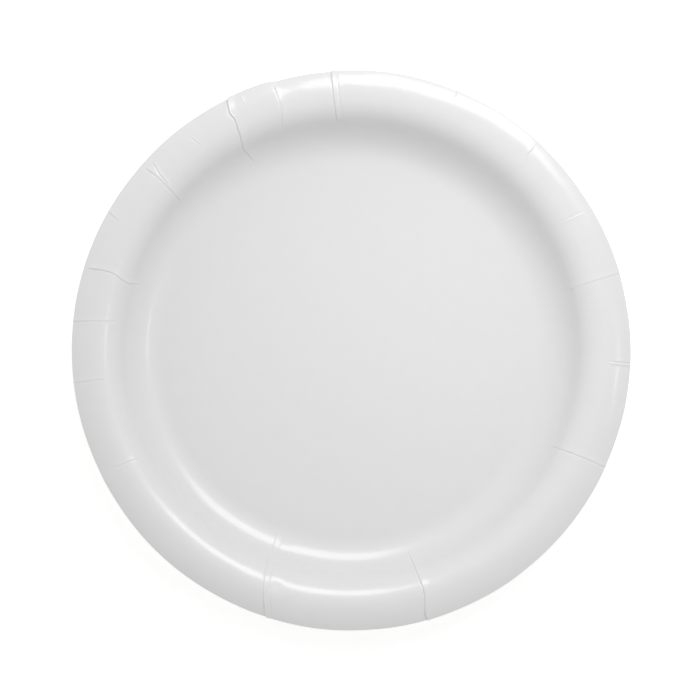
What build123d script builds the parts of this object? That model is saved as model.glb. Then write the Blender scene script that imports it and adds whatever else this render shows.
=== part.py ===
from build123d import *

import math
import os

# A round paper plate: one disc of coated paperboard, pressed in a heated mould.
# Millimetres and degrees. The origin is the middle of the floor's underside, +Z is up.
# The board folds over itself where the rim gathers it in, so each pleat is a low ridge
# with one sharp side, where the fold lies, and one side that dies away.

# Driving dimensions
plate_diameter = 228.6  # rim edge to rim edge
plate_height = 17.8  # floor's underside to the top of the rim
board_thickness = 0.4
foot_radius = 17.5  # bend from the floor up into the wall, on the eating side
wall_length = 3.0  # straight run of the wall between its two bends
crest_radius = 12.2  # bend from the wall over onto the rim, on the eating side
lip_radius = 20.5  # gentler bend from the top of the rim down to its edge
lip_width = 9.6  # top of the rim to the edge, measured level

# Pleats
pleat_ridge = 0.14  # how far the folded side stands proud of the board
pleat_fade = 0.04  # what is left of that at the side that dies away
pleat_start_width = 0.5  # overlap of the board at a pleat's inner end
pleat_station_gap = 2.5  # spacing of the cross-sections that a pleat is lofted through
trim_allowance = 1.0  # board pressed past the rim's edge, then cut off clean
trim_depth = 2.0  # reach of the cutter to each side of the board

# Each pleat runs down the rim. Its route is a list of (share of the rim's run, bearing):
# the share is 0 where the floor ends and 1 at the edge, and the bearing is in degrees
# clockwise from +Y. Overlap is the width of doubled board at the pleat's outer end, and
# side is +1 where the fold lies on the anticlockwise side of the ridge, -1 on the other.
pleats = [
    {"route": [(1.0, 22.6), (0.88, 22.5)], "overlap": 1.2, "side": 1},
    {"route": [(0.91, 42.2), (0.83, 42.4)], "overlap": 1.4, "side": -1},
    {"route": [(0.88, 59.0), (0.67, 59.1)], "overlap": 1.3, "side": 1},
    {"route": [(0.98, 74.2), (0.39, 74.7)], "overlap": 1.9, "side": -1},
    {"route": [(0.98, 92.8), (0.79, 92.8)], "overlap": 1.7, "side": 1},
    {"route": [(0.98, 114.7), (0.35, 115.3)], "overlap": 2.0, "side": 1},
    {"route": [(1.0, 164.2), (0.55, 163.0), (0.15, 164.0)], "overlap": 2.8, "side": -1},
    {"route": [(1.0, 196.5), (0.67, 200.0), (0.10, 202.0)], "overlap": 3.0, "side": 1},
    {"route": [(0.95, 244.2), (0.58, 243.0)], "overlap": 1.8, "side": 1},
    {"route": [(0.97, 263.2), (0.60, 263.3)], "overlap": 1.2, "side": -1},
    {"route": [(0.98, 276.0), (0.55, 277.0)], "overlap": 1.2, "side": 1},
    {"route": [(0.95, 287.3), (0.72, 287.8), (0.52, 286.8), (0.34, 287.5)], "overlap": 2.2, "side": 1},
    {"route": [(0.98, 299.6), (0.84, 299.3)], "overlap": 1.3, "side": -1},
    {"route": [(0.94, 313.3), (0.66, 312.0), (0.37, 311.2)], "overlap": 2.2, "side": -1},
    {"route": [(0.86, 323.0), (0.74, 324.0)], "overlap": 1.1, "side": 1},
    {"route": [(1.0, 334.3), (0.60, 332.2), (0.20, 333.5)], "overlap": 2.8, "side": 1},
    {"route": [(0.97, 343.8), (0.72, 344.1), (0.55, 343.0)], "overlap": 1.5, "side": -1},
    {"route": [(1.0, 356.0), (0.52, 356.4)], "overlap": 2.6, "side": 1},
]

# Worked out from the sizes above: the wall leans as far as its two bends and its
# straight run need to climb from the floor to the top of the rim.
both_bends = foot_radius + crest_radius
rise = plate_height - board_thickness
wall_angle = math.degrees(
    math.atan2(both_bends, wall_length)
    + math.asin((rise - both_bends) / math.hypot(both_bends, wall_length))
)
lip_angle = math.degrees(math.asin(lip_width / lip_radius))
wall_lean = math.radians(wall_angle)
wall_width = both_bends * math.sin(wall_lean) + wall_length * math.cos(wall_lean)
floor_radius = plate_diameter / 2 - lip_width - wall_width
foot_run = foot_radius * wall_lean
crest_run = crest_radius * wall_lean
lip_run = lip_radius * math.radians(lip_angle)
rim_run = foot_run + wall_length + crest_run + lip_run
trim_angle = math.degrees(trim_allowance / lip_radius)


def board_line(start_height, offset):
    """One face of the board from the axis to past the edge; offset is how far it lies under the upper face."""
    floor = Line((0, start_height), (floor_radius, start_height))
    foot = JernArc(floor @ 1, floor % 1, foot_radius + offset, wall_angle)
    wall = PolarLine(foot @ 1, wall_length, direction=foot % 1)
    crest = JernArc(wall @ 1, wall % 1, crest_radius - offset, -wall_angle)
    lip = JernArc(crest @ 1, crest % 1, lip_radius - offset, -lip_angle - trim_angle)
    return floor @ 0, lip @ 1


def on_rim(share):
    """Radius, height and slope of the upper face at a share of the rim's run."""
    run = share * rim_run
    if run < foot_run:
        slope = run / foot_radius
        radius = floor_radius + foot_radius * math.sin(slope)
        height = board_thickness + foot_radius * (1 - math.cos(slope))
        return radius, height, slope
    run -= foot_run
    foot_top = board_thickness + foot_radius * (1 - math.cos(wall_lean))
    if run < wall_length:
        radius = floor_radius + foot_radius * math.sin(wall_lean) + run * math.cos(wall_lean)
        return radius, foot_top + run * math.sin(wall_lean), wall_lean
    run -= wall_length
    rim_top_radius = plate_diameter / 2 - lip_width
    if run < crest_run:
        slope = wall_lean - run / crest_radius
        radius = rim_top_radius - crest_radius * math.sin(slope)
        return radius, plate_height - crest_radius * (1 - math.cos(slope)), slope
    slope = (crest_run - run) / lip_radius
    radius = rim_top_radius - lip_radius * math.sin(slope)
    return radius, plate_height - lip_radius * (1 - math.cos(slope)), slope


def rim_corner(share, bearing, lift):
    """A point that stands off the upper face of the rim by lift, square to the board."""
    radius, height, slope = on_rim(share)
    radius -= lift * math.sin(slope)
    turn = math.radians(bearing)
    return Vector(radius * math.sin(turn), radius * math.cos(turn), height + lift * math.cos(slope))


def bearing_at(route, share):
    """The pleat's bearing at a share of the rim's run, straight between its route's points."""
    for (outer, outer_bearing), (inner, inner_bearing) in zip(route, route[1:]):
        if share >= inner:
            along = (share - inner) / (outer - inner)
            return inner_bearing + along * (outer_bearing - inner_bearing)
    return route[-1][1]


def make_pleat(route, overlap, side):
    """The doubled board of one pleat, through the whole thickness of the rim."""
    outer = route[0][0]
    inner = route[-1][0]
    if outer == 1.0:
        outer += trim_allowance / rim_run
    stations = max(3, math.ceil((outer - inner) * rim_run / pleat_station_gap))
    sections = []
    for station in range(stations + 1):
        along = station / stations
        share = inner + along * (outer - inner)
        width = pleat_start_width + along * (overlap - pleat_start_width)
        fold = bearing_at(route, share)
        faded = fold + side * math.degrees(width / on_rim(share)[0])
        sections.append(
            Wire.make_polygon(
                [
                    rim_corner(share, fold, pleat_ridge),
                    rim_corner(share, faded, pleat_fade),
                    rim_corner(share, faded, -board_thickness - pleat_ridge),
                    rim_corner(share, fold, -board_thickness - pleat_fade),
                ]
            )
        )
    return Solid.make_loft(sections)


# The pressed board, as if no pleat had formed
with BuildPart() as plain_board:
    with BuildSketch(Plane.XZ):
        with BuildLine():
            upper_start, upper_end = board_line(board_thickness, 0)
            lower_start, lower_end = board_line(0, board_thickness)
            Line(upper_start, lower_start)
            Line(upper_end, lower_end)
        make_face()
    revolve(axis=Axis.Z)

# What the die cuts off: everything past a line square to the board at the rim's edge
edge_radius, edge_height, edge_slope = on_rim(1.0)
across = Vector(-math.sin(edge_slope), math.cos(edge_slope)) * trim_depth
outward = Vector(math.cos(edge_slope), math.sin(edge_slope)) * trim_depth
edge = Vector(edge_radius, edge_height)
with BuildPart() as trimmed_ring:
    with BuildSketch(Plane.XZ):
        with BuildLine():
            Polyline(edge + across, edge - across, edge - across + outward, edge + across + outward, close=True)
        make_face()
    revolve(axis=Axis.Z)

plate = plain_board.part + [make_pleat(**pleat) for pleat in pleats]
plate = plate - trimmed_ring.part

os.makedirs("parts", exist_ok=True)
export_step(plate, "parts/plate.step")
print(f"wall leans {wall_angle:.1f} degrees, lip ends at {lip_angle:.1f} degrees")
print(f"floor radius {floor_radius:.1f} mm, rim run {rim_run:.1f} mm, {len(pleats)} pleats")
print(f"{len(plate.solids())} solid, {plate.volume:.0f} cubic mm of board")
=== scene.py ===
import bisect
import bpy
import math
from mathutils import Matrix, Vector, noise


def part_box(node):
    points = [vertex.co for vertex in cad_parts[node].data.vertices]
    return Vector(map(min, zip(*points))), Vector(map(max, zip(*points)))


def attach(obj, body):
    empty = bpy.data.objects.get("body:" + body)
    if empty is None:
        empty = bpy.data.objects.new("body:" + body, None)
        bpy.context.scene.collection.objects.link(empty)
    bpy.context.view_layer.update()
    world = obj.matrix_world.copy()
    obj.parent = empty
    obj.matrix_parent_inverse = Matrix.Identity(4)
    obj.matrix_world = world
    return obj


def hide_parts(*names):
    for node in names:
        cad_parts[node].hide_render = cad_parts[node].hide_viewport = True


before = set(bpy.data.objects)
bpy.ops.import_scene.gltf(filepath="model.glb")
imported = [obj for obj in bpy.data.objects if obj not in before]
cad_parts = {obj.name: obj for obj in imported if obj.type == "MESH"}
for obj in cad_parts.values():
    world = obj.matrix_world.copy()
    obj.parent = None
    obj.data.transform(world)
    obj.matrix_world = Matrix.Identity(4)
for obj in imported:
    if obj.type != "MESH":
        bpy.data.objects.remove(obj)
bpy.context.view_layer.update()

# The pressed plate, metres and degrees. Every radius is the eating side's.
plateLow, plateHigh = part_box("plate")
plateShape = {
    "edgeRadius": (plateHigh.x - plateLow.x) / 2,
    "rimTop": plateHigh.z - 0.00014,  # the CAD box also holds a pleat's ridge
    "board": 0.0004,
    "footRadius": 0.0175,
    "wallLength": 0.0030,
    "crestRadius": 0.0122,
    "lipRadius": 0.0205,
    "lipWidth": 0.0096,
    "columns": 180,  # sides of the circle that the rim grows from, before it is made finer at the pleats
    "footRings": 15,
    "wallRings": 4,
    "crestRings": 17,
    "lipRings": 16,
    "floorRings": [0.975, 0.90, 0.72, 0.45, 0.15],
    "edgeWave": 0.00022,  # how far the rim's edge wanders up and down
    "edgeWander": 0.00016,  # and in and out
    "ripple": 0.00009,  # shorter waves over the rim
    "floorSag": 0.00010,  # the floor isn't quite flat
    "wallWave": 0.00005,  # nor is the wall
    "pleatColumn": 0.12,  # widest gap between columns at a crease, in degrees
    "foldColumn": 0.22,  # and at the far fold of a deep pleat
    "dentColumn": 0.35,  # and in a dent, for each mm of its reach
    "columnGrowth": 0.42,  # how fast the gaps widen away from these
    "edgeFrom": 0.45,  # share of the rim's run where the edge's own unevenness begins
    "tiltBend": 2.6,  # a panel tilts little at the crest and most at the edge
    "touching": 1e-6,  # points this near are in one ring, in metres
    "ringSlack": 1e-5,  # a point's ring may be this much nearer the middle than the point
    "sharpFrom": math.radians(40),  # faces that meet more steeply than this keep a crisp edge
}

# One row per pleat. The route is (share of the rim's run, bearing clockwise from +Y); the rest is
# in mm. "step" is how far the doubled board stands up and "width" how far it reaches, towards
# "side", +1 being clockwise. "groove" is the crease where it starts and "fold" the one where it ends.
pleats = [
    {"route": [(1.0, 22.6), (0.88, 22.5)],
     "step": 0.10, "groove": 0.10, "fold": 0.03, "side": 1, "width": 1.2},
    {"route": [(0.85, 11.4), (0.77, 11.4)],
     "step": 0.07, "groove": 0.11, "fold": 0.0, "side": 1, "width": 0.8},
    {"route": [(0.93, 42.2), (0.82, 42.4)],
     "step": 0.14, "groove": 0.05, "fold": 0.03, "side": -1, "width": 1.8},
    {"route": [(0.89, 59.3), (0.66, 58.9)],
     "step": 0.10, "groove": 0.09, "fold": 0.02, "side": 1, "width": 1.3},
    {"route": [(0.99, 74.1), (0.70, 74.3), (0.38, 74.8)],
     "step": 0.08, "groove": 0.06, "fold": 0.0, "side": -1, "width": 1.9},
    {"route": [(0.99, 92.9), (0.79, 92.7)],
     "step": 0.16, "groove": 0.16, "fold": 0.05, "side": 1, "width": 1.2},
    {"route": [(0.99, 114.7), (0.70, 114.9), (0.34, 115.6)],
     "step": 0.12, "groove": 0.13, "fold": 0.03, "side": -1, "width": 2.0},
    {"route": [(1.0, 164.1), (0.92, 164.0), (0.74, 163.0), (0.55, 163.2), (0.22, 163.9)],
     "step": 0.18, "groove": 0.22, "fold": 0.04, "side": -1, "width": 2.4},
    {"route": [(1.0, 197.6), (0.67, 200.5), (0.34, 201.2), (0.10, 201.5)],
     "step": 0.16, "groove": 0.14, "fold": 0.14, "side": -1, "width": 2.8},
    {"route": [(0.84, 243.6), (0.57, 242.9)],
     "step": 0.10, "groove": 0.07, "fold": 0.03, "side": 1, "width": 1.8},
    {"route": [(0.99, 263.2), (0.66, 263.3)],
     "step": 0.07, "groove": 0.06, "fold": 0.0, "side": 1, "width": 1.4},
    {"route": [(0.99, 275.9), (0.54, 277.1)],
     "step": 0.07, "groove": 0.05, "fold": 0.0, "side": 1, "width": 1.4},
    {"route": [(0.95, 287.3), (0.72, 287.9), (0.52, 286.7), (0.33, 287.5)],
     "step": 0.14, "groove": 0.12, "fold": 0.03, "side": 1, "width": 2.0},
    {"route": [(0.99, 299.7), (0.84, 299.2)],
     "step": 0.12, "groove": 0.11, "fold": 0.0, "side": 1, "width": 1.5},
    {"route": [(0.93, 311.6), (0.75, 311.9), (0.38, 311.2)],
     "step": 0.14, "groove": 0.17, "fold": 0.0, "side": 1, "width": 1.8},
    {"route": [(0.92, 313.6), (0.80, 312.8), (0.66, 312.3)],
     "step": 0.10, "groove": 0.13, "fold": 0.0, "side": 1, "width": 1.4},
    {"route": [(0.87, 323.0), (0.73, 324.0)],
     "step": 0.06, "groove": 0.09, "fold": 0.0, "side": 1, "width": 1.2},
    {"route": [(1.0, 334.0), (0.85, 333.1), (0.78, 333.4), (0.64, 332.9), (0.44, 332.1), (0.21, 333.1)],
     "step": 0.20, "groove": 0.22, "fold": 0.04, "side": 1, "width": 2.4},
    {"route": [(0.98, 336.8), (0.87, 336.9)],
     "step": 0.05, "groove": -0.10, "fold": 0.0, "side": 1, "width": 1.0},
    {"route": [(0.98, 343.8), (0.72, 344.1), (0.54, 343.0)],
     "step": 0.14, "groove": 0.15, "fold": 0.03, "side": 1, "width": 1.8},
    {"route": [(1.0, 356.1), (0.75, 356.3), (0.45, 356.8)],
     "step": 0.16, "groove": 0.18, "fold": 0.16, "side": 1, "width": 2.2},
]

# What all pleats share. Ends and the deepening are shares of the rim's run, and distances are in mm.
# "crease" and "bead" are each (middle, reach) of a soft line along the pleat.
pleatForm = {
    "innerEnd": (-0.01, 0.06),  # from nothing to full, about the inner end of the route
    "outerEnd": (-0.04, 0.015),  # and back to nothing, about an outer end that stops short
    "atEdge": 0.985,  # a route that starts past this runs right out to the edge
    "wander": 0.16,  # how far a crease strays from its route
    "wanderPace": 21,  # and how often along the rim's run
    "fading": 0.6,  # how much a crease comes and goes
    "fadingPace": 12,  # and how often
    "fadingLayer": 7,  # keeps the fading apart from the wandering
    "innerDepth": 0.45,  # depth at the inner end, growing to full over the shares below
    "deepening": (0.1, 0.95),
    "doubledStart": (-0.08, 0.16),
    "doubledEnd": (0.25, 1.5),  # in pleat widths
    "crease": (-0.20, 0.32),
    "bead": (0.42, 0.28),
    "beadRise": 0.45,  # height of the bead, for each mm of the groove
    "pressedReach": 0.40,  # of the line where the doubled board ends, at the pleat's width
    "deepFold": 0.1,  # a fold deeper than this needs columns of its own
    "midRadius": 0.1,  # metres from the plate's middle to the middle of the rim
    "reach": 4,  # degrees to each side that a pleat can shape
    "followed": 1.6,  # degrees to each side of a pleat where the columns turn with it
    "leastDrift": 2.0,  # and the degrees past that over which they straighten out
    "driftPerTurn": 2.6,  # with more for a route that bends more
}

# Small dents, as from a thumb: bearing and share as above, depth and reach in mm.
dents = [
    {"share": 0.69, "bearing": 197.4, "depth": 0.46, "reach": 3.0},
    {"share": 0.23, "bearing": 198.6, "depth": 0.30, "reach": 3.0},
    {"share": 0.44, "bearing": 75.2, "depth": 0.14, "reach": 1.8},
    {"share": 0.45, "bearing": 357.6, "depth": 0.18, "reach": 1.8},
    {"share": 0.60, "bearing": 192.0, "depth": 0.05, "reach": 2.0},
    {"share": 0.66, "bearing": 189.6, "depth": 0.05, "reach": 1.0},
    {"share": 0.64, "bearing": 204.5, "depth": 0.06, "reach": 2.2},
    {"share": 0.84, "bearing": 333.6, "depth": 0.08, "reach": 0.9},
    {"share": 0.90, "bearing": 313.1, "depth": 0.07, "reach": 0.9},
    {"share": 0.92, "bearing": 244.8, "depth": 0.06, "reach": 0.8},
    {"share": 0.88, "bearing": 357.9, "depth": 0.07, "reach": 1.2},
    {"share": 0.86, "bearing": 347.0, "depth": 0.12, "reach": 3.4},
    {"share": 0.84, "bearing": 352.5, "depth": 0.06, "reach": 3.0},
    {"share": 0.90, "bearing": 66.0, "depth": 0.08, "reach": 4.0},
    {"share": 0.86, "bearing": 30.0, "depth": 0.07, "reach": 4.0},
    {"share": 0.80, "bearing": 130.0, "depth": 0.08, "reach": 5.0},
    {"share": 0.85, "bearing": 225.0, "depth": 0.08, "reach": 5.0},
]


def workOutSection(shape):
    # the wall leans as far as its bends and straight run need to climb to the rim's top
    bends = shape["footRadius"] + shape["crestRadius"]
    rise = shape["rimTop"] - shape["board"]
    lean = math.atan2(bends, shape["wallLength"])
    lean += math.asin((rise - bends) / math.hypot(bends, shape["wallLength"]))
    shape["lean"] = lean
    shape["lipLean"] = math.asin(shape["lipWidth"] / shape["lipRadius"])
    wallWidth = bends * math.sin(lean) + shape["wallLength"] * math.cos(lean)
    shape["topRadius"] = shape["edgeRadius"] - shape["lipWidth"]
    shape["floorRadius"] = shape["topRadius"] - wallWidth
    shape["footRun"] = shape["footRadius"] * lean
    shape["crestRun"] = shape["crestRadius"] * lean
    shape["lipRun"] = shape["lipRadius"] * shape["lipLean"]
    shape["rimRun"] = shape["footRun"] + shape["wallLength"] + shape["crestRun"] + shape["lipRun"]


def sectionPoint(shape, share):
    # radius, height and slope of the eating side, at a share of the way from floor to edge
    run = share * shape["rimRun"]
    if run <= shape["footRun"]:
        slope = run / shape["footRadius"]
        radius = shape["floorRadius"] + shape["footRadius"] * math.sin(slope)
        return radius, shape["board"] + shape["footRadius"] * (1 - math.cos(slope)), slope
    run -= shape["footRun"]
    lean = shape["lean"]
    if run <= shape["wallLength"]:
        radius = shape["floorRadius"] + shape["footRadius"] * math.sin(lean) + run * math.cos(lean)
        footTop = shape["board"] + shape["footRadius"] * (1 - math.cos(lean))
        return radius, footTop + run * math.sin(lean), lean
    run -= shape["wallLength"]
    bend = shape["crestRadius"] if run < shape["crestRun"] else shape["lipRadius"]
    slope = (shape["crestRun"] - run) / bend
    radius = shape["topRadius"] - bend * math.sin(slope)
    return radius, shape["rimTop"] - bend * (1 - math.cos(slope)), slope


def ringShares(shape):
    # shares at which the rim gets a ring, closer together where it bends
    marks = [0.0]
    for run, rings in (("footRun", "footRings"), ("wallLength", "wallRings"),
                       ("crestRun", "crestRings"), ("lipRun", "lipRings")):
        start = marks[-1]
        for ring in range(1, shape[rings] + 1):
            marks.append(start + shape[run] * ring / shape[rings])
    return [mark / shape["rimRun"] for mark in marks]


def routeBearing(route, share):
    # where a pleat lies at a share, on a smooth line through its route;
    # past its ends it keeps the end's bearing
    if share >= route[0][0]:
        return route[0][1]
    if share <= route[-1][0]:
        return route[-1][1]
    for index in range(len(route) - 1):
        outer, inner = route[index], route[index + 1]
        if share >= inner[0]:
            before, after = route[max(0, index - 1)], route[min(len(route) - 1, index + 2)]
            span = inner[0] - outer[0]
            leave = span * (inner[1] - before[1]) / (inner[0] - before[0])
            arrive = span * (after[1] - outer[1]) / (after[0] - outer[0])
            along = (share - outer[0]) / span
            turn = inner[1] - outer[1]
            curl = along * (1 - along) * ((leave - turn) * (1 - along) - (arrive - turn) * along)
            return outer[1] + turn * along + curl


def bearingGap(bearing, other):
    return (bearing - other + 180) % 360 - 180


def fadeIn(value, start, end):
    along = min(1.0, max(0.0, (value - start) / (end - start)))
    return along * along * (3 - 2 * along)


def startPart():
    if bpy.context.object and bpy.context.object.mode != "OBJECT":
        bpy.ops.object.mode_set(mode="OBJECT")
    bpy.ops.object.select_all(action="DESELECT")


def findMarks(shape):
    # bearings that need fine columns, and how fine in degrees
    marks = []
    for pleat in pleats:
        bearing = pleat["route"][0][1]
        marks.append((bearing, shape["pleatColumn"]))
        if pleat["fold"] > pleatForm["deepFold"]:
            foldTurn = math.degrees(pleat["width"] / 1000 / pleatForm["midRadius"])
            marks.append((bearing + pleat["side"] * foldTurn, shape["foldColumn"]))
    for dent in dents:
        marks.append((dent["bearing"], shape["dentColumn"] * dent["reach"]))
    return marks


def drawFloorLine(shape):
    # the circle where the floor ends, with more points near each pleat and dent
    startPart()
    bpy.ops.mesh.primitive_circle_add(vertices=shape["columns"], radius=shape["floorRadius"],
                                      fill_type="NOTHING", location=(0, 0, shape["board"]))
    plate = bpy.context.object
    bpy.ops.object.transform_apply(location=True, rotation=True, scale=True)
    plate.name = "paper_plate"
    plate.data.name = "paper_plate"
    marks = findMarks(shape)
    growth = shape["columnGrowth"]
    spacing = 360 / shape["columns"]
    while spacing > shape["pleatColumn"]:
        mesh = plate.data
        for edge in mesh.edges:
            ends = [mesh.vertices[vertex].co for vertex in edge.vertices]
            middle = (ends[0] + ends[1]) / 2
            bearing = math.degrees(math.atan2(middle.x, middle.y))
            width = math.degrees((ends[0] - ends[1]).length / shape["floorRadius"])
            wanted = min(max(fine, growth * abs(bearingGap(bearing, mark))) for mark, fine in marks)
            edge.select = width > wanted
        bpy.ops.object.mode_set(mode="EDIT")
        bpy.ops.mesh.select_mode(type="EDGE")
        bpy.ops.mesh.subdivide(number_cuts=1)
        bpy.ops.object.mode_set(mode="OBJECT")
        for vertex in mesh.vertices:
            vertex.co.xy = vertex.co.xy.normalized() * shape["floorRadius"]
        spacing /= 2
    return plate


def selectRing(plate, radius, touching):
    bpy.ops.object.mode_set(mode="OBJECT")
    for vertex in plate.data.vertices:
        vertex.select = abs(vertex.co.xy.length - radius) < touching
    bpy.ops.object.mode_set(mode="EDIT")
    bpy.ops.mesh.select_mode(type="VERT")


def growRings(plate, shape):
    # the floor inwards to a closed middle, then the foot, wall, crest and lip outwards
    bpy.ops.object.mode_set(mode="EDIT")
    bpy.ops.mesh.select_mode(type="EDGE")
    bpy.ops.mesh.select_all(action="SELECT")
    last = 1.0
    for share in shape["floorRings"]:
        bpy.ops.mesh.extrude_edges_move()
        bpy.ops.transform.resize(value=(share / last,) * 2 + (1,), center_override=(0, 0, 0))
        last = share
    bpy.ops.mesh.extrude_edges_move()
    bpy.ops.mesh.merge(type="CENTER")
    selectRing(plate, shape["floorRadius"], shape["touching"])
    bpy.ops.mesh.select_mode(type="EDGE")
    radius, height = sectionPoint(shape, 0)[:2]
    for share in ringShares(shape)[1:]:
        newRadius, newHeight = sectionPoint(shape, share)[:2]
        bpy.ops.mesh.extrude_edges_move()
        bpy.ops.transform.resize(value=(newRadius / radius,) * 2 + (1,), center_override=(0, 0, 0))
        bpy.ops.transform.translate(value=(0, 0, newHeight - height))
        radius, height = newRadius, newHeight
    bpy.ops.mesh.select_all(action="SELECT")
    bpy.ops.mesh.remove_doubles(threshold=1e-7)
    bpy.ops.mesh.normals_make_consistent(inside=False)
    bpy.ops.object.mode_set(mode="OBJECT")
    if plate.data.polygons[0].normal.z < 0:
        plate.data.flip_normals()


def pleatReach(pleat, share):
    # 1 where the pleat runs, dying away past its inner end, and past its outer end if it stops short
    outer, inner = pleat["route"][0][0], pleat["route"][-1][0]
    start, full = pleatForm["innerEnd"]
    reach = fadeIn(share, inner + start, inner + full)
    if outer < pleatForm["atEdge"]:
        start, full = pleatForm["outerEnd"]
        reach *= 1 - fadeIn(share, outer + start, outer + full)
    return reach


def softLine(across, middle, reach):
    # 1 along the middle of a soft line, dying away to each side
    return math.exp(-(((across - middle) / reach) ** 2))


def pleatRelief(pleat, share, across):
    # height in mm across a pleat: a crease with a pinched bead beside it, then the doubled board,
    # which dies away on its high side; the crease wanders and comes and goes along its length
    form = pleatForm
    bearing = pleat["route"][0][1]
    wander = form["wander"] * noise.noise(Vector((share * form["wanderPace"], bearing, 0)))
    fadingPlace = Vector((share * form["fadingPace"], bearing, form["fadingLayer"]))
    depth = 1 + form["fading"] * noise.noise(fadingPlace)
    high = across * pleat["side"] + wander
    start, full = form["deepening"]
    grow = form["innerDepth"] + (1 - form["innerDepth"]) * fadeIn(share, start, full)
    width = pleat["width"]
    start, full = form["doubledEnd"]
    doubled = fadeIn(high, *form["doubledStart"]) * (1 - fadeIn(high, start * width, width * full))
    crease = softLine(high, *form["crease"])
    bead = softLine(high, *form["bead"])
    pressed = softLine(high, width, form["pressedReach"])
    relief = pleat["step"] * doubled - pleat["groove"] * depth * (crease - form["beadRise"] * bead)
    return grow * (relief - pleat["fold"] * depth * pressed)


dentForm = {
    "reach": 8,  # degrees to each side that a dent can shape
}


def dentRelief(share, bearing, radius, rimRun):
    relief = 0.0
    for dent in dents:
        gap = bearingGap(bearing, dent["bearing"])
        if abs(gap) < dentForm["reach"]:
            across = math.radians(gap) * radius * 1000
            along = (share - dent["share"]) * rimRun * 1000
            relief -= dent["depth"] * math.exp(-(across ** 2 + along ** 2) / dent["reach"] ** 2)
    return relief


# Degrees: how softly one panel steps to the next, at a pleat and past its end.
panelForm = {
    "atPleat": 0.08,
    "pastPleat": 1.6,
    "narrowest": 0.5,
    "widest": 90,
}


def panelTilt(panels, share, bearing):
    # between pleats each panel of the rim lies at its own tilt, and steps to the next at the pleat
    tilt = 0.0
    for index, panel in enumerate(panels):
        pleat = pleats[panel["from"]]
        nextPanel = panels[(index + 1) % len(panels)]
        nextPleat = pleats[nextPanel["from"]]
        start = routeBearing(pleat["route"], share)
        end = routeBearing(nextPleat["route"], share)
        into = bearingGap(bearing, start)
        left = bearingGap(end, bearing)
        soft = panelForm["atPleat"] + panelForm["pastPleat"] * (1 - pleatReach(pleat, share))
        nextSoft = panelForm["atPleat"] + panelForm["pastPleat"] * (1 - pleatReach(nextPleat, share))
        held = fadeIn(into, -soft, soft) * fadeIn(left, -nextSoft, nextSoft)
        if held > 0 and abs(into) < panelForm["widest"]:
            span = max(panelForm["narrowest"], (end - start) % 360)
            along = min(1.0, max(0.0, into / span))
            tilt += held * (panel["drop"][0] * (1 - along) + panel["drop"][1] * along)
    return tilt


# How close together the board's waves come. The floor's is for each metre. The others run round
# the rim on a circle of this radius in the noise, so about six times as many bumps go round.
waves = {
    "floor": 14,
    "floorEnd": (1.0, 0.8),  # level where the floor ends, free to sag inside this share of its radius
    "edgeRound": 3.1,
    "wanderRound": 4.3,
    "wanderLayer": 5,  # keeps this wave apart from the edge's
    "rippleRound": 11,
    "rippleAcross": 5,  # and from floor to edge
    "wallRound": 9,
    "wallAcross": 4,
    "wallStart": (0.1, 0.4),  # shares of the rim's run over which the wall's waves begin
}


def pleatDrifts():
    # how far to each side of a pleat the columns give way, more where its route bends more
    drifts = []
    for pleat in pleats:
        turns = [bearing - pleat["route"][0][1] for share, bearing in pleat["route"]]
        mostTurn = max(abs(turn) for turn in turns)
        drifts.append(pleatForm["leastDrift"] + pleatForm["driftPerTurn"] * mostTurn)
    return drifts


def followPleats(column, share, drifts):
    # a column near a pleat turns with its route, so that the crease runs along the mesh
    bearing = column
    followed = pleatForm["followed"]
    for pleat, drift in zip(pleats, drifts):
        gap = abs(bearingGap(column, pleat["route"][0][1]))
        if gap < drift + followed:
            turn = routeBearing(pleat["route"], share) - pleat["route"][0][1]
            bearing += turn * (1 - fadeIn(gap, followed, drift + followed))
    return bearing


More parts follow.
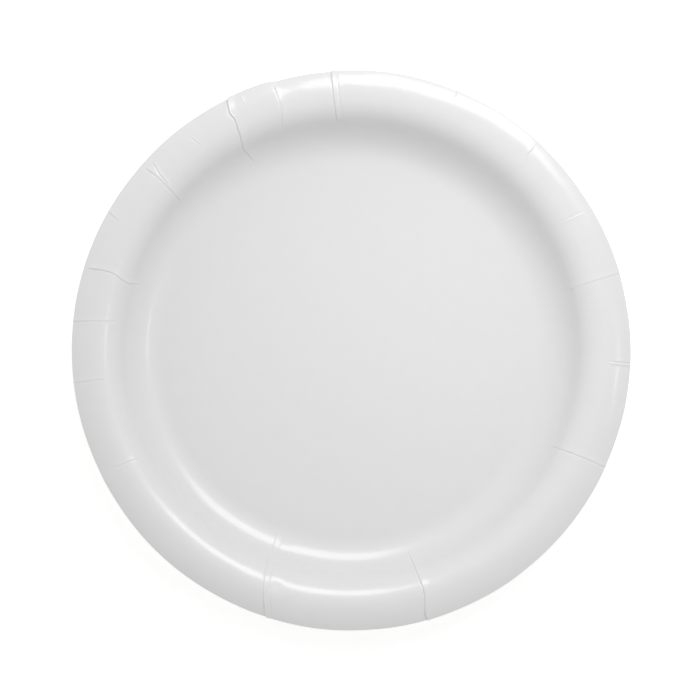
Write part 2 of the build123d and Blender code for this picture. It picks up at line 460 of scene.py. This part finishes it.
def shapeRim(plate, shape, panels):
    # each point goes to its place on the section, with the pleats, panels and the board's waviness
    shares = ringShares(shape)
    ringRadii = [sectionPoint(shape, share)[0] for share in shares]
    drifts = pleatDrifts()
    for vertex in plate.data.vertices:
        radius = vertex.co.xy.length
        column = math.degrees(math.atan2(vertex.co.x, vertex.co.y)) % 360
        around = Vector((math.sin(math.radians(column)), math.cos(math.radians(column)), 0))
        if radius < shape["floorRadius"] - shape["touching"]:
            still = fadeIn(radius / shape["floorRadius"], *waves["floorEnd"])
            vertex.co.z += shape["floorSag"] * still * abs(noise.noise(vertex.co * waves["floor"]))
            continue
        share = shares[bisect.bisect(ringRadii, radius - shape["ringSlack"])]
        bearing = followPleats(column, share, drifts)
        radius, height, slope = sectionPoint(shape, share)
        relief = 0.0
        for pleat in pleats:
            gap = bearingGap(bearing, routeBearing(pleat["route"], share))
            if abs(gap) < pleatForm["reach"]:
                across = math.radians(gap) * radius * 1000
                relief += pleatRelief(pleat, share, across) * pleatReach(pleat, share)
        relief += dentRelief(share, bearing, radius, shape["rimRun"])
        overRim = max(0.0, share - shape["edgeFrom"]) / (1 - shape["edgeFrom"])
        relief -= panelTilt(panels, share, bearing) * overRim ** shape["tiltBend"]
        wave = shape["edgeWave"] * noise.noise(around * waves["edgeRound"]) * overRim
        wander = noise.noise(around * waves["wanderRound"] + Vector((0, 0, waves["wanderLayer"])))
        ripplePlace = around * waves["rippleRound"] + Vector((0, 0, share * waves["rippleAcross"]))
        wallPlace = around * waves["wallRound"] + Vector((0, 0, share * waves["wallAcross"]))
        lift = relief * 0.001 + wave
        lift += shape["ripple"] * noise.noise(ripplePlace) * overRim
        lift += shape["wallWave"] * noise.noise(wallPlace) * fadeIn(share, *waves["wallStart"])
        radius += shape["edgeWander"] * wander * overRim - lift * math.sin(slope)
        turn = math.radians(bearing)
        vertex.co = (radius * math.sin(turn), radius * math.cos(turn), height + lift * math.cos(slope))
    plate.data.update()


def thickenBoard(plate, shape):
    # the board's thickness, grown downwards so that the eating side stays where it is
    startPart()
    plate.select_set(True)
    bpy.context.view_layer.objects.active = plate
    board = plate.modifiers.new("board", "SOLIDIFY")
    board.thickness = shape["board"]
    board.offset = -1
    board.use_even_offset = True
    board.material_offset = 1
    board.material_offset_rim = 2
    bpy.ops.object.modifier_apply(modifier=board.name)
    bpy.ops.object.shade_smooth_by_angle(angle=shape["sharpFrom"])


# How far each panel's edge lies below the plain rim, in mm, at its start and its end.
# "from" counts the pleats from 0, in their order above.
rimPanels = [
    {"from": 20, "drop": (0.20, -0.50)},
    {"from": 0, "drop": (-0.55, -0.55)},
    {"from": 2, "drop": (-0.30, -0.25)},
    {"from": 4, "drop": (-0.10, -0.45)},
    {"from": 5, "drop": (-0.35, -0.60)},
    {"from": 6, "drop": (-0.75, -0.90)},
    {"from": 7, "drop": (-0.60, -0.10)},
    {"from": 8, "drop": (0.10, 1.00)},
    {"from": 9, "drop": (1.25, 1.35)},
    {"from": 11, "drop": (1.25, 1.00)},
    {"from": 12, "drop": (0.85, 0.70)},
    {"from": 14, "drop": (0.70, 0.50)},
    {"from": 17, "drop": (-0.40, -0.55)},
    {"from": 19, "drop": (0.80, 0.60)},
]

boardFinish = {
    "coatDark": 0.745,  # the two greys that the coating's faint mottling runs between
    "coatLight": 0.755,
    "boardGloss": (0.32, 0.38),  # roughness of the printed board under the clear coat
    "coatRoughness": 0.17,
    "patternSpan": (0.3, 0.7),  # the part of a pattern's range that is spread over the two ends
    "mottleSize": 160,  # bumps per metre, here and below
    "glossSize": 240,
    "peelSize": 900,  # orange peel, then the slower waves with it
    "peelDepth": 0.0000022,
    "slowPeelSize": 110,
    "slowPeelTimes": 1.5,
    "coatWeight": 0.9,
    "clearIor": 1.5,
    "bareDark": (0.70, 0.69, 0.67),
    "bareLight": (0.80, 0.795, 0.78),
    "fibreSpan": (0.25, 0.75),
    "fibreSize": 700,
    "fibreDepth": 0.000010,
    "fibreStretch": (1.0, 0.28, 1.0),  # the fibres run one way in the board
    "fibreTurn": math.radians(24),
    "bareRoughness": 0.82,
    "bareShine": 0.3,
    "cutStretch": (0.35, 0.35, 3.0),
    "cutRoughness": 0.9,
    "cutShine": 0.2,
    "cutFineness": 2,  # the cut edge is this much finer and deeper than the fibres
}


def newMaterial(name):
    material = bpy.data.materials.new(name)
    material.use_nodes = True
    nodes = material.node_tree.nodes
    nodes.clear()
    output = nodes.new("ShaderNodeOutputMaterial")
    shader = nodes.new("ShaderNodeBsdfPrincipled")
    material.node_tree.links.new(shader.outputs["BSDF"], output.inputs["Surface"])
    return material, nodes, material.node_tree.links, shader


def addNoise(nodes, links, place, scale, detail=3.0, roughness=0.5):
    pattern = nodes.new("ShaderNodeTexNoise")
    pattern.inputs["Scale"].default_value = scale
    pattern.inputs["Detail"].default_value = detail
    pattern.inputs["Roughness"].default_value = roughness
    links.new(place, pattern.inputs["Vector"])
    return pattern.outputs["Fac"]


def addRange(nodes, links, value, low, high, toLow, toHigh):
    spread = nodes.new("ShaderNodeMapRange")
    spread.inputs["From Min"].default_value = low
    spread.inputs["From Max"].default_value = high
    spread.inputs["To Min"].default_value = toLow
    spread.inputs["To Max"].default_value = toHigh
    links.new(value, spread.inputs["Value"])
    return spread.outputs["Result"]


def addMix(nodes, links, value, first, second):
    mix = nodes.new("ShaderNodeMix")
    mix.data_type = "RGBA"
    mix.inputs["A"].default_value = (*first, 1)
    mix.inputs["B"].default_value = (*second, 1)
    links.new(value, mix.inputs["Factor"])
    return mix.outputs["Result"]


def addBump(nodes, links, height, depth, shader, before=None):
    bump = nodes.new("ShaderNodeBump")
    bump.inputs["Strength"].default_value = 1.0
    bump.inputs["Distance"].default_value = depth
    links.new(height, bump.inputs["Height"])
    if before:
        links.new(before, bump.inputs["Normal"])
    links.new(bump.outputs["Normal"], shader.inputs["Normal"])
    return bump.outputs["Normal"]


def makeCoating(finish):
    # glossy white coating: faint mottling from the board under it, and fine orange peel
    material, nodes, links, shader = newMaterial("glossy white coating")
    place = nodes.new("ShaderNodeTexCoord").outputs["Object"]
    mottle = addNoise(nodes, links, place, finish["mottleSize"], detail=4, roughness=0.6)
    spread = addRange(nodes, links, mottle, *finish["patternSpan"], 0, 1)
    dark, light = finish["coatDark"], finish["coatLight"]
    links.new(addMix(nodes, links, spread, (dark,) * 3, (light,) * 3), shader.inputs["Base Color"])
    gloss = addNoise(nodes, links, place, finish["glossSize"])
    low, high = finish["boardGloss"]
    links.new(addRange(nodes, links, gloss, *finish["patternSpan"], low, high), shader.inputs["Roughness"])
    shader.inputs["IOR"].default_value = finish["clearIor"]
    shader.inputs["Coat Weight"].default_value = finish["coatWeight"]
    shader.inputs["Coat Roughness"].default_value = finish["coatRoughness"]
    shader.inputs["Coat IOR"].default_value = finish["clearIor"]
    peel = addNoise(nodes, links, place, finish["peelSize"], detail=2)
    first = addBump(nodes, links, peel, finish["peelDepth"], shader)
    slow = addNoise(nodes, links, place, finish["slowPeelSize"], detail=2)
    slowDepth = finish["peelDepth"] * finish["slowPeelTimes"]
    second = addBump(nodes, links, slow, slowDepth, shader, first)
    links.new(second, shader.inputs["Coat Normal"])
    return material


def makeBareBoard(finish):
    # the uncoated underside: matt, with the fibres of the board showing
    material, nodes, links, shader = newMaterial("bare board")
    place = nodes.new("ShaderNodeTexCoord").outputs["Object"]
    stretch = nodes.new("ShaderNodeMapping")
    stretch.inputs["Scale"].default_value = finish["fibreStretch"]
    stretch.inputs["Rotation"].default_value = (0, 0, finish["fibreTurn"])
    links.new(place, stretch.inputs["Vector"])
    along = stretch.outputs["Vector"]
    fibres = addNoise(nodes, links, along, finish["fibreSize"], detail=5, roughness=0.65)
    spread = addRange(nodes, links, fibres, *finish["fibreSpan"], 0, 1)
    colour = addMix(nodes, links, spread, finish["bareDark"], finish["bareLight"])
    links.new(colour, shader.inputs["Base Color"])
    shader.inputs["Roughness"].default_value = finish["bareRoughness"]
    shader.inputs["Specular IOR Level"].default_value = finish["bareShine"]
    addBump(nodes, links, fibres, finish["fibreDepth"], shader)
    return material


def makeCutEdge(finish):
    # the die-cut edge: torn fibre ends in thin layers
    material, nodes, links, shader = newMaterial("cut edge")
    place = nodes.new("ShaderNodeTexCoord").outputs["Object"]
    stretch = nodes.new("ShaderNodeMapping")
    stretch.inputs["Scale"].default_value = finish["cutStretch"]
    links.new(place, stretch.inputs["Vector"])
    fineness = finish["cutFineness"]
    size = finish["fibreSize"] * fineness
    layers = addNoise(nodes, links, stretch.outputs["Vector"], size, detail=4, roughness=0.7)
    spread = addRange(nodes, links, layers, *finish["patternSpan"], 0, 1)
    colour = addMix(nodes, links, spread, finish["bareDark"], finish["bareLight"])
    links.new(colour, shader.inputs["Base Color"])
    shader.inputs["Roughness"].default_value = finish["cutRoughness"]
    shader.inputs["Specular IOR Level"].default_value = finish["cutShine"]
    addBump(nodes, links, layers, finish["fibreDepth"] * fineness, shader)
    return material


workOutSection(plateShape)
paperPlate = drawFloorLine(plateShape)
growRings(paperPlate, plateShape)
print("rim grown:", len(paperPlate.data.vertices), "points")
shapeRim(paperPlate, plateShape, rimPanels)
print("pleats pressed in:", len(pleats))
for material in (makeCoating(boardFinish), makeBareBoard(boardFinish), makeCutEdge(boardFinish)):
    paperPlate.data.materials.append(material)
thickenBoard(paperPlate, plateShape)
print("board thickened:", len(paperPlate.data.polygons), "faces")
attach(paperPlate, "root")
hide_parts("plate")

# The studio, in metres: bearings are clockwise from +Y and leans are from straight up.
studio = {
    "floorSize": 6.0,
    "floorHeight": -0.0001,  # just clear of the plate's underside
    "floorGrey": 0.93,
    "floorGlow": 0.37,
    "floorRoughness": 0.9,
    "floorShine": 0.1,
    "skyLight": 0.645,
    "cameraHeight": 1.2,
    "rimAcrossView": 280 / 350,
}
lamps = [
    {"name": "key softbox", "bearing": 19, "lean": 43, "reach": 0.70,
     "size": (0.56, 0.27), "power": 1.70, "seen": True},
    {"name": "side strip", "bearing": 93, "lean": 33, "reach": 0.80,
     "size": (0.10, 0.05), "power": 0.08, "seen": True},
    {"name": "window", "bearing": 298, "lean": 74, "reach": 0.80,
     "size": (0.5, 0.3), "power": 0.5, "seen": False},
    {"name": "bounce card", "bearing": 55, "lean": 18, "reach": 0.20,
     "size": (0.12, 0.12), "power": 0.055, "seen": False},
]


def makeFloor(setup):
    startPart()
    bpy.ops.mesh.primitive_plane_add(size=setup["floorSize"], location=(0, 0, setup["floorHeight"]))
    floor = bpy.context.object
    floor.name = "studio_floor"
    material, nodes, links, shader = newMaterial("studio floor")
    shader.inputs["Base Color"].default_value = (setup["floorGrey"],) * 3 + (1,)
    shader.inputs["Roughness"].default_value = setup["floorRoughness"]
    shader.inputs["Specular IOR Level"].default_value = setup["floorShine"]
    shader.inputs["Emission Color"].default_value = (1, 1, 1, 1)
    shader.inputs["Emission Strength"].default_value = setup["floorGlow"]
    floor.data.materials.append(material)


def makeLamp(lamp):
    # an area lamp that faces the plate's middle; one that isn't seen makes no highlight
    bearing, lean = math.radians(lamp["bearing"]), math.radians(lamp["lean"])
    across = math.sin(lean)
    place = Vector((math.sin(bearing) * across, math.cos(bearing) * across, math.cos(lean))) * lamp["reach"]
    startPart()
    bpy.ops.object.light_add(type="AREA", location=place)
    light = bpy.context.object
    light.name = lamp["name"]
    light.rotation_euler = place.to_track_quat("Z", "Y").to_euler()
    light.data.shape = "RECTANGLE"
    light.data.size, light.data.size_y = lamp["size"]
    light.data.energy = lamp["power"]
    light.visible_camera = False
    light.visible_glossy = lamp["seen"]


def makeSky(strength):
    world = bpy.data.worlds.new("studio air")
    bpy.context.scene.world = world
    world.use_nodes = True
    sky = world.node_tree.nodes["Background"]
    sky.inputs["Color"].default_value = (1, 1, 1, 1)
    sky.inputs["Strength"].default_value = strength


def makeCamera(setup, shape):
    startPart()
    height = setup["cameraHeight"]
    bpy.ops.object.camera_add(location=(0, 0, height), rotation=(0, 0, 0))
    camera = bpy.context.object
    edgeHeight = sectionPoint(shape, 1)[1]
    halfView = shape["edgeRadius"] / setup["rimAcrossView"] / (height - edgeHeight)
    camera.data.lens = camera.data.sensor_width / 2 / halfView
    bpy.context.scene.camera = camera


makeFloor(studio)
for lamp in lamps:
    makeLamp(lamp)
makeSky(studio["skyLight"])
makeCamera(studio, plateShape)
bpy.context.scene.view_settings.view_transform = "Standard"
print("studio lit with", len(lamps), "lamps")
